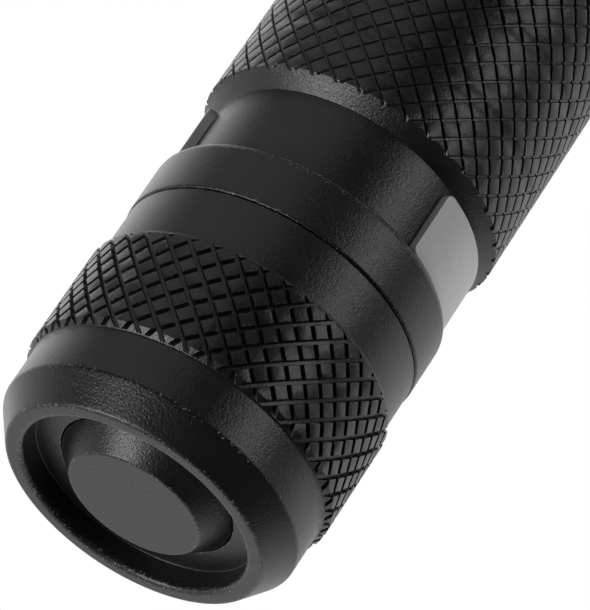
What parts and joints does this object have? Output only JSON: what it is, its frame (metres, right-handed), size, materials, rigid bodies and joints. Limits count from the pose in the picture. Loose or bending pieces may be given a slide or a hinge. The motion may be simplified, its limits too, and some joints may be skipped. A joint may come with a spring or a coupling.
{
  "type": "tactical flashlight",
  "caption": "Knurled black aluminium tube flashlight with a recessed tail button, screw-off tail cap and head, and a steel pocket clip; it stands on its tail.",
  "frame": {"origin": "on the axis, in the plane of the tail cap's rim, which is the centre of the bottom of the bounding box", "axes": "+Z along the tube from the tail to the lens; +Y towards the arm of the pocket clip; +X completes the right-handed frame"},
  "size_m": [0.0356, 0.0356, 0.131],
  "materials": {
    "black_anodised": "bead-blasted and black anodised, satin",
    "black_rubber": "matte nitrile",
    "seal_silicone": "moulded silicone",
    "module_plastic": "moulded, matt",
    "switch_plastic": "moulded, fine texture",
    "plunger_plastic": "moulded, natural white",
    "board_green": "glass-epoxy board with green solder mask",
    "spring_steel": "drawn wire",
    "contact_gold": "gold-plated spring wire",
    "brass_ring": "turned brass",
    "clip_steel": "brushed stainless strip",
    "cell_steel": "nickel-plated can",
    "cell_roll": "wound coated foil, sealed in the can",
    "cell_film": "shrink film",
    "insulator_white": "insulating card",
    "parts_black": "moulded component bodies",
    "copper_board": "copper core board with white mask",
    "emitter_phosphor": "yellow phosphor on a ceramic base",
    "dome_silicone": "clear silicone dome",
    "gasket_white": "moulded, white",
    "lead_red": "silicone insulation",
    "lead_black": "silicone insulation",
    "reflector_mirror": "vacuum-metallised bowl",
    "lens_glass": "toughened, anti-reflection coated"
  },
  "bodies": {
    "tube": {"body_tube": "black_anodised", "tail_oring": "black_rubber", "head_oring": "black_rubber"},
    "tail_contact": {"tail_spring": "contact_gold"},
    "cap": {"tail_cap": "black_anodised", "button_seal": "seal_silicone", "switch_holder": "module_plastic", "switch_case": "switch_plastic", "switch_spring": "spring_steel", "switch_board": "board_green", "switch_retainer": "brass_ring"},
    "button": {"tail_button": "black_anodised", "switch_plunger": "plunger_plastic"},
    "cell": {"cell_can": "cell_steel", "cell_core": "cell_roll", "cell_wrap": "cell_film", "cell_insulator": "insulator_white", "cell_terminal": "cell_steel"},
    "clip": {"pocket_clip": "clip_steel"},
    "head_contact": {"driver_spring": "contact_gold"},
    "head": {"head_housing": "black_anodised", "driver_retainer": "brass_ring", "driver_board": "board_green", "driver_components": "parts_black", "led_board": "copper_board", "led_emitter": "emitter_phosphor", "led_dome": "dome_silicone", "led_gasket": "gasket_white", "lead_positive": "lead_red", "lead_negative": "lead_black", "reflector": "reflector_mirror", "lens": "lens_glass", "lens_oring": "black_rubber", "bezel": "black_anodised"}
  },
  "joints": [
    {"name": "cap_travel", "type": "slide", "parent": "tube", "child": "tail_contact", "axis": [0, 0, -1], "range_m": [0, 0.004], "deforming": ["tail_spring"]},
    {"name": "cap_turn", "type": "hinge", "parent": "tail_contact", "child": "cap", "pos_m": [0, 0, 0.0107], "axis": [0, 0, -1], "range_deg": [0, 1440]},
    {"name": "button_press", "type": "slide", "parent": "cap", "child": "button", "axis": [0, 0, 1], "range_m": [0, 0.0015], "stiffness_N_per_m": 1500, "springref_m": -0.001, "deforming": ["switch_spring", "button_seal"]},
    {"name": "cell_travel", "type": "slide", "parent": "tube", "child": "cell", "axis": [0, 0, -1], "range_m": [0, 0.00201]},
    {"name": "clip_turn", "type": "hinge", "parent": "tube", "child": "clip", "pos_m": [0, 0, 0.0288], "axis": [0, 0, 1], "continuous": true},
    {"name": "head_travel", "type": "slide", "parent": "tube", "child": "head_contact", "axis": [0, 0, 1], "range_m": [0, 0.006], "deforming": ["driver_spring"]},
    {"name": "head_turn", "type": "hinge", "parent": "head_contact", "child": "head", "pos_m": [0, 0, 0.1], "axis": [0, 0, 1], "range_deg": [0, 2160]}
  ],
  "couplings": [
    {"joint": "cap_turn", "follows": "cap_travel", "rad_per_m": 6283.2},
    {"joint": "cell_travel", "follows": "cap_travel", "ratio": 0.5},
    {"joint": "head_turn", "follows": "head_travel", "rad_per_m": 6283.2}
  ]
}
